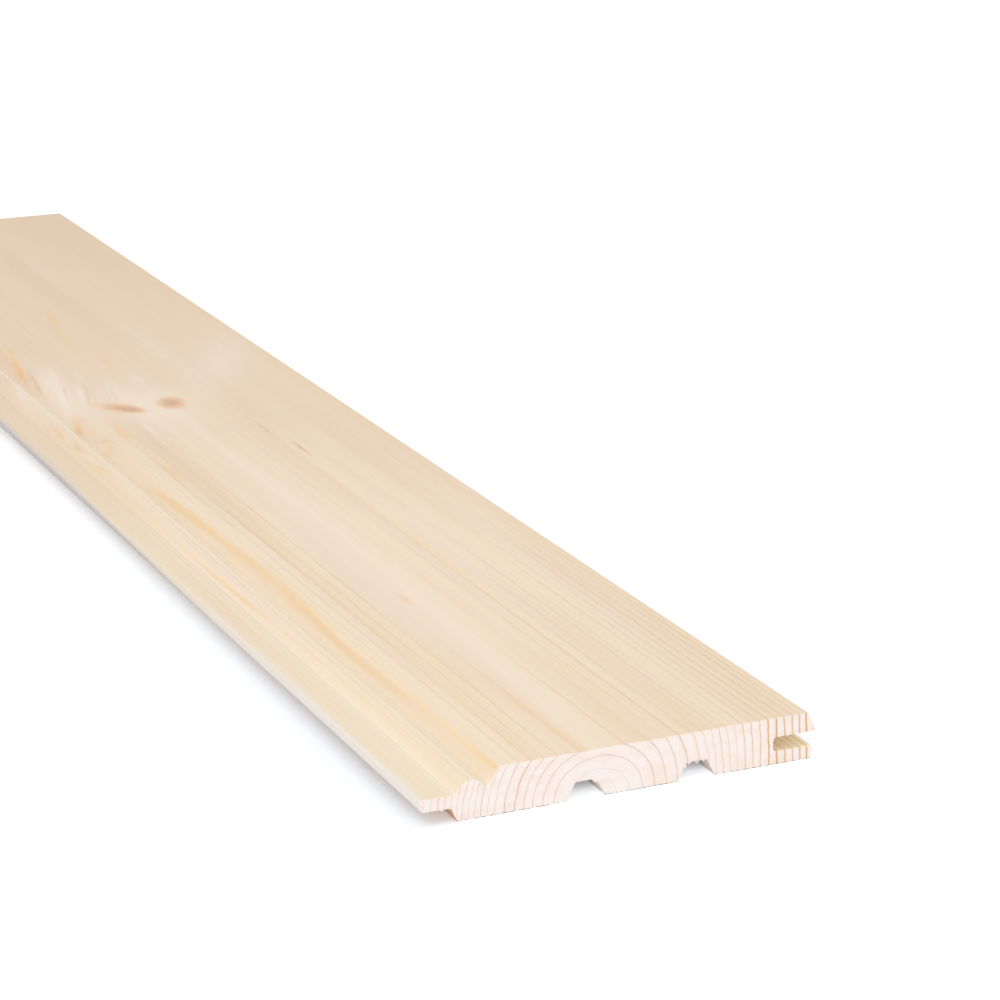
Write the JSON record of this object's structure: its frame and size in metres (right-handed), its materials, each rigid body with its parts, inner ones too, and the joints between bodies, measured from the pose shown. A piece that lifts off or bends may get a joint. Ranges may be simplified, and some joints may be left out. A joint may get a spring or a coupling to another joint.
{
  "type": "tongue and groove board",
  "caption": "Planed softwood lining board with a tongue, a groove, a bead beside the tongue and relief grooves along its back.",
  "frame": {"origin": "middle of the back's bounding rectangle, on the plane that the board lies on", "axes": "+X across the board from the tongue to the groove, +Y along the board, +Z from the back up to the face"},
  "size_m": [0.121, 0.71, 0.014],
  "materials": {
    "softwood": "planed bare softwood"
  },
  "bodies": {
    "root": {"board": "softwood"}
  },
  "joints": []
}
